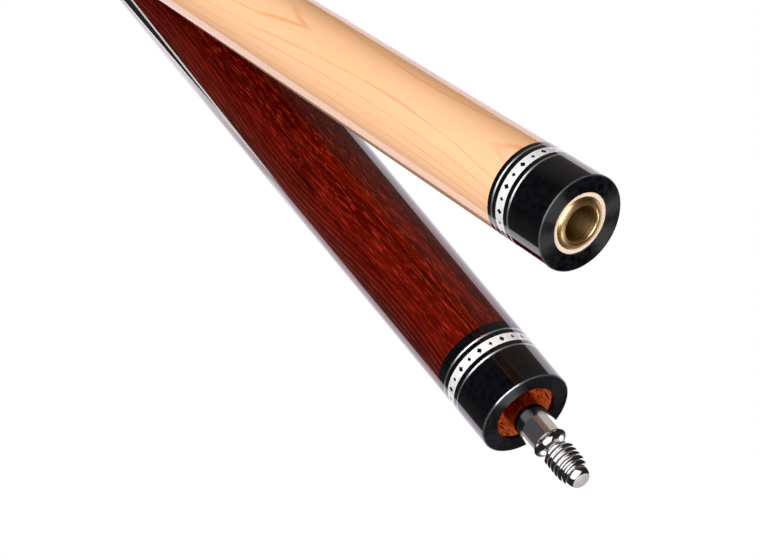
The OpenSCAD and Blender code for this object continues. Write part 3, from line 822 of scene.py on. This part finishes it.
def wrap_rule():
    """Winds a flattened cord round a cone, from the back end forward."""
    tree, given = new_rule("wind_cord", tuple(CORD))
    spiral = put(tree, "GeometryNodeCurveSpiral", WRAP_STEPS, given["Turns"], given["Back Radius"],
                 given["Front Radius"], given["Length"]).outputs[0]
    spiral = put(tree, "GeometryNodeSetCurveNormal", spiral, mode="Z_UP").outputs[0]
    circle = put(tree, "GeometryNodeCurvePrimitiveCircle", CORD_SIDES)
    circle.inputs["Radius"].default_value = 1.0
    size = put(tree, "ShaderNodeCombineXYZ", given["Half Thickness"], given["Half Width"], 1.0).outputs[0]
    flat = put(tree, "GeometryNodeTransform", circle.outputs[0])
    tree.links.new(size, flat.inputs["Scale"])
    cord = put(tree, "GeometryNodeCurveToMesh", spiral, flat.outputs[0])
    cord.inputs["Fill Caps"].default_value = True
    lifted = put(tree, "GeometryNodeTransform", cord.outputs[0])
    lifted.inputs["Translation"].default_value = (0, 0, WRAP_BACK)
    end_rule(tree, lifted.outputs[0], given["Material"])
    return tree


def linen():
    """Waxed black linen with pale flecks."""
    material, tree, shader = new_material("linen", Roughness=0.6, Sheen_Weight=0.15, Sheen_Roughness=0.4)
    point = in_half(tree, butt)
    fibres = grained(tree, point, *LINEN_FIBRES)
    flecks = grain_mask(tree, point, LINEN_FLECK_GRAIN)
    colour = mixed(tree, fade(tree, fibres, *LINEN_FIBRE_STEP), LINEN_BLACK, LINEN_GREY)
    feed(tree, shader, Base_Color=mixed(tree, flecks, colour, LINEN_FLECK))
    bumped(tree, shader, fibres, LINEN_FIBRE_DEPTH)
    return material


wrap_seed = bpy.data.meshes.new("wrap_seed")
wrap = grown("wrap_cord", wrap_rule(), wrap_seed, {**CORD, "Material": linen()}, butt, CORD_SHARP)
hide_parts("wrap")
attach(wrap, "butt")


# The sleeve and the cap
# Behind the wrap a sleeve of the forearm's red wood lies between two more stacks of rings, and a black resin
# cap closes the end. Each is bored out, glued over the handle's back tenon and turned flush.
dress(forearm_wood, "butt_wood", "butt_sleeve")
dress(black_resin, "black_resin", "sleeve_black_rings", "cap_black_rings", "butt_cap")
dress(white_resin, "white_resin", "sleeve_white_ring", "cap_white_ring")
dress(silver_line, "silver_line", "sleeve_lines", "cap_lines")


# The bumper
# A moulded rubber foot with a plug that is pushed into the weight bore, so that it can be pulled out by
# hand. It keeps the end of the cap off the floor.
RUBBER = (0.016, 0.016, 0.017, 1)
RUBBER_DUST = (0.050, 0.048, 0.046, 1)
RUBBER_PEBBLE = (0.22, 0.22, 2.0)
RUBBER_PEBBLE_DEPTH = 0.03
RUBBER_DUST_GRAIN = (3, 3, 4.0, 0.45, 0.75)
RUBBER_ROUGH = (0.5, 0.75)


def moulded_rubber():
    """Matt rubber with a fine pebble and some dust."""
    material, tree, shader = new_material("bumper_rubber", IOR=1.5)
    point = in_half(tree, butt)
    dust = grain_mask(tree, point, RUBBER_DUST_GRAIN)
    feed(tree, shader, Base_Color=mixed(tree, dust, RUBBER, RUBBER_DUST),
         Roughness=fade(tree, dust, 0.0, 1.0, *RUBBER_ROUGH))
    bumped(tree, shader, grained(tree, point, *RUBBER_PEBBLE), RUBBER_PEBBLE_DEPTH)
    return material


dress(moulded_rubber(), "bumper_rubber", "bumper")


# The shaft
# Hard maple turned to a long taper and sealed to a gloss, with growth lines that run out of the surface in
# long curves. Its tenon comes through the collar and shows as a ring of bare wood round the insert.
SHAFT_SHOWN_SIDE = math.radians(175.3)
MAPLE_TURN = math.radians(-25)
MAPLE_YEARS = {
    "Pith": 22, "Spacing": 1.21, "Bow": 1.72, "Bow At": 46.5, "Bow Length": 220, "Wander": 0.5,
    "Phase": 0.786,
}
MAPLE_YEAR_RISE = (0.72, 0.84)
MAPLE_YEAR_FALL = (0.84, 0.91, 1.0, 0.0)
MAPLE = (0.95, 0.565, 0.335, 1)
# Darker, warmer maple, used for its own warm streaks and for the painted shade down one side
MAPLE_WARM_AND_SHADED = (0.91, 0.475, 0.225, 1)
MAPLE_LINE = (0.80, 0.350, 0.140, 1)
MAPLE_LINE_GRAIN = (3, 25, 2.0, 0.35, 0.65, 0.35, 0.85)
MAPLE_FIBRES = (0.22, 7, 3.0)
MAPLE_FIBRE_SHARE = 0.35
# Painted shade: one side of the shaft, away from the light, is painted darker and warmer
SHADED_SIDE = math.radians(-85)
SHADED_SIDE_STEP = (0.45, 1.0, 0.0, 0.6)
WARM_GRAIN = (5, 45, 3.0, 0.3, 0.7)
WARM_SHARE = 0.25
MAPLE_BARE = (0.82, 0.67, 0.55, 1)
MAPLE_END = (0.66, 0.46, 0.33, 1)
BARE_GRAIN = (0.3, 0.3, 3.0, 0.35, 0.65)
BARE_SHARE = 0.6
RIM_RADIUS = 6.85
RIM_SOFT = 0.05
RIM_REACH = (-2.0, -1.9)


def maple():
    """Pale maple with growth lines under gloss sealer, bare at the joint face, and painted shade down one
    side.
    """
    material, tree, shader = new_material("maple", **LACQUER)
    point = in_half(tree, shaft)
    axis = turned(tree, point)
    year = grown_year(tree, point, SHAFT_SHOWN_SIDE + MAPLE_TURN, MAPLE_YEARS)
    line = both(tree, fade(tree, year, *MAPLE_YEAR_RISE), fade(tree, year, *MAPLE_YEAR_FALL))
    line = both(tree, line, grain_mask(tree, point, MAPLE_LINE_GRAIN))
    # Painted shade down the side away from the light, mixed with the maple's own warm streaks and fibres
    turn = calc(tree, "SUBTRACT", axis["Around"], SHAFT_SHOWN_SIDE + SHADED_SIDE)
    painted_shade_side = fade(tree, calc(tree, "COSINE", turn), *SHADED_SIDE_STEP)
    warmth_and_shade = calc(tree, "MULTIPLY_ADD", grain_mask(tree, point, WARM_GRAIN), WARM_SHARE, painted_shade_side)
    fibres = grained(tree, point, *MAPLE_FIBRES)
    warmth_and_shade = calc(tree, "MULTIPLY_ADD", fibres, MAPLE_FIBRE_SHARE, warmth_and_shade)
    colour = mixed(tree, line, mixed(tree, warmth_and_shade, MAPLE, MAPLE_WARM_AND_SHADED), MAPLE_LINE)
    front = fade(tree, axis["Along"], *RIM_REACH)
    bare = both(tree, front, fade(tree, axis["Radius"], RIM_RADIUS, RIM_RADIUS + RIM_SOFT, 1.0, 0.0))
    pores = both(tree, grain_mask(tree, point, BARE_GRAIN), BARE_SHARE)
    colour = mixed(tree, bare, colour, mixed(tree, pores, MAPLE_BARE, MAPLE_END))
    feed(tree, shader, Base_Color=colour, Coat_Weight=calc(tree, "SUBTRACT", 1.0, bare))
    return material


dress(maple(), "shaft_wood", "shaft_wood")


# The insert
# Turned brass, pressed and glued into the end of the shaft: a rounded lip that stands just proud of the
# face, a plain bore for the pin's barrel with the boring tool's marks in it, and a thread behind that.
BRASS = (0.90, 0.63, 0.34, 1)
BRASS_MARK = (0.70, 0.44, 0.20, 1)
BRASS_FINISH = {"gloss": 0.28, "dull": 0.42, "drawn": 0.5, "spacing": 0.35, "depth": 0.012}
# The bore is darker and rougher than the lip
DARKER_BORE = {
    "where": (-30, -0.55, 4.4), "colours": ((0.55, 0.37, 0.19, 1), (0.17, 0.105, 0.050, 1)), "rougher": 0.1,
}

brass = turned_metal("turned_brass", shaft, BRASS, BRASS_MARK, BRASS_FINISH, DARKER_BORE)
dress(brass, "insert_brass", "insert")


# The shaft's ring work
# The same collar and rings as on the butt, so that the cue's lines match across the closed joint. This
# collar's edge is more rounded and duller from use; the grey along it is a painted soft highlight.
# The grey along this collar's chamfer is a painted soft highlight
SHAFT_EDGE_SHEEN = {"colour": (0.060, 0.060, 0.066, 1), "from_radius": 10.42, "rough": 0.35}

dress(collar_resin("shaft_collar_resin", shaft, SHAFT_EDGE_SHEEN), "black_resin", "shaft_collar")
dress(black_resin, "black_resin", "shaft_black_rings", "shaft_band",
      "shaft_large_diamonds", "shaft_small_diamonds")
dress(white_resin, "white_resin", "shaft_white_ring")
shaft_silver = turned_metal("shaft_silver", shaft, SILVER, SILVER_MARK, SILVER_FINISH)
dress(shaft_silver, "silver_line", "shaft_lines")


# The ferrule and the tip
# A white resin ferrule is glued over the shaft's front tenon. A thin disc of fibre and a domed leather tip
# are glued to its end, turned flush and burnished; blue chalk clings to the dome and stains the ferrule.
FERRULE = (0.80, 0.78, 0.72, 1)
FERRULE_STAIN = (0.42, 0.50, 0.58, 1)
LEATHER = (0.150, 0.070, 0.032, 1)
LEATHER_DARK = (0.050, 0.022, 0.011, 1)
CHALK = (0.030, 0.150, 0.330, 1)
FIBRE = (0.110, 0.012, 0.010, 1)
FIBRE_DARK = (0.045, 0.006, 0.006, 1)
MOTTLE_GRAIN = (0.4, 0.6, 4.0, 0.3, 0.7)
MOTTLE_DEPTH = 0.01
CHALK_GRAIN = (0.8, 0.8, 4.0, 0.25, 0.65)
CHALK_ROUGH = 0.9
TIP_END = -737
DOME_HEIGHT = 2.6


def stained(name, colour, other, chalk, chalk_from, chalk_full, gloss):
    """A mottled colour that passes into chalk between two distances from the tip's end."""
    material, tree, shader = new_material(name, IOR=1.5)
    point = in_half(tree, shaft)
    axis = turned(tree, point)
    mottle = grain_mask(tree, point, MOTTLE_GRAIN)
    from_end = calc(tree, "SUBTRACT", axis["Along"], TIP_END)
    near_end = fade(tree, from_end, chalk_full, chalk_from, 1.0, 0.0)
    dusted = both(tree, grain_mask(tree, point, CHALK_GRAIN), near_end)
    feed(tree, shader, Base_Color=mixed(tree, dusted, mixed(tree, mottle, colour, other), chalk),
         Roughness=fade(tree, dusted, 0.0, 1.0, gloss, CHALK_ROUGH))
    bumped(tree, shader, mottle, MOTTLE_DEPTH)
    return material


white_ferrule = stained(
    "ferrule_resin", FERRULE, RESIN_CREAM, FERRULE_STAIN, chalk_from=26, chalk_full=6, gloss=0.12
)
fibre = stained("tip_fibre", FIBRE, FIBRE_DARK, CHALK, chalk_from=7, chalk_full=3, gloss=0.4)
leather = stained(
    "tip_leather", LEATHER, LEATHER_DARK, CHALK, chalk_from=DOME_HEIGHT, chalk_full=1.2, gloss=0.45
)
dress(white_ferrule, "ferrule_resin", "ferrule")
dress(fibre, "tip_fibre", "tip_pad")
dress(leather, "tip_leather", "tip")
